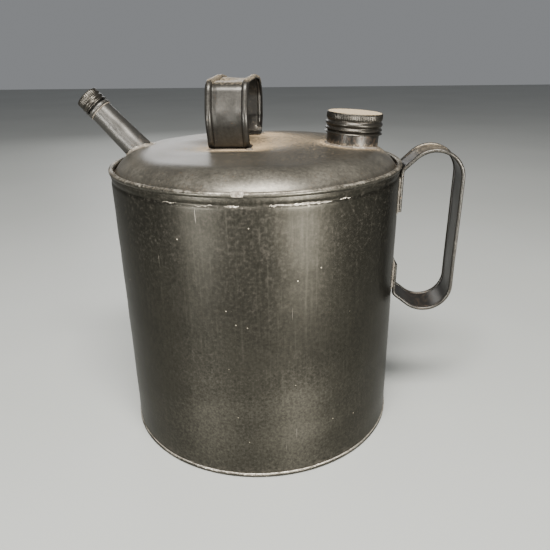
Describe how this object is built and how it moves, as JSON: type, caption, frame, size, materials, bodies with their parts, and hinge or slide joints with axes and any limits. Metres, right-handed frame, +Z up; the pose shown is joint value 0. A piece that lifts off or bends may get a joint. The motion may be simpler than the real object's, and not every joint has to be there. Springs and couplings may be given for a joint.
{
  "type": "gallon gas can",
  "caption": "Round soldered sheet-metal fuel can with a domed top, a slanted capped spout, a screw-capped filler neck, a strap handle on the side and a short one on top.",
  "frame": {"origin": "centre of the base, on the surface the can stands on", "axes": "+Z up along the can's axis, +X towards the side handle, -X towards the spout"},
  "size_m": [0.2267, 0.172, 0.2131],
  "materials": {
    "black_tin": "old satin black on tinplate, rubbed and stained",
    "dusty_tin": "old satin black with brown dust and rust",
    "cap_tin": "old black with sandy dust and brown rust",
    "spout_tin": "worn grey-black tinplate",
    "solder": "dull tin solder, partly stained",
    "wire": "iron wire",
    "cork": "pressed cork"
  },
  "bodies": {
    "can": {"body_shell": "black_tin", "body_seam_solder": "solder", "rim_wire": "wire", "rim_joint_solder": "solder", "base_plate": "black_tin", "base_solder": "solder", "dome_top": "dusty_tin", "dome_solder": "solder", "side_handle": "black_tin", "side_handle_wires": "wire", "side_handle_solder": "solder", "top_handle": "black_tin", "top_handle_solder": "solder", "filler_neck": "black_tin", "filler_neck_solder": "solder", "spout_tube": "spout_tin", "spout_solder": "solder", "spout_ferrule": "spout_tin", "spout_ferrule_solder": "solder"},
    "filler_gasket": {"filler_cap_gasket": "cork"},
    "filler_cap": {"filler_cap": "cap_tin"},
    "spout_gasket": {"spout_cap_gasket": "cork"},
    "spout_cap": {"spout_cap": "cap_tin"}
  },
  "joints": [
    {"name": "filler_cap_lift", "type": "slide", "parent": "can", "child": "filler_gasket", "axis": [0.0698, 0, 0.9976], "range_m": [0, 0.045]},
    {"name": "filler_cap_turn", "type": "hinge", "parent": "filler_gasket", "child": "filler_cap", "pos_m": [0.0566, 0, 0.17466], "axis": [0.0698, 0, 0.9976], "range_deg": [0, 720]},
    {"name": "spout_cap_lift", "type": "slide", "parent": "can", "child": "spout_gasket", "axis": [-0.6807, 0, 0.7325], "range_m": [0, 0.03]},
    {"name": "spout_cap_turn", "type": "hinge", "parent": "spout_gasket", "child": "spout_cap", "pos_m": [-0.0728, 0, 0.17189], "axis": [-0.6807, 0, 0.7325], "range_deg": [0, 720]}
  ]
}
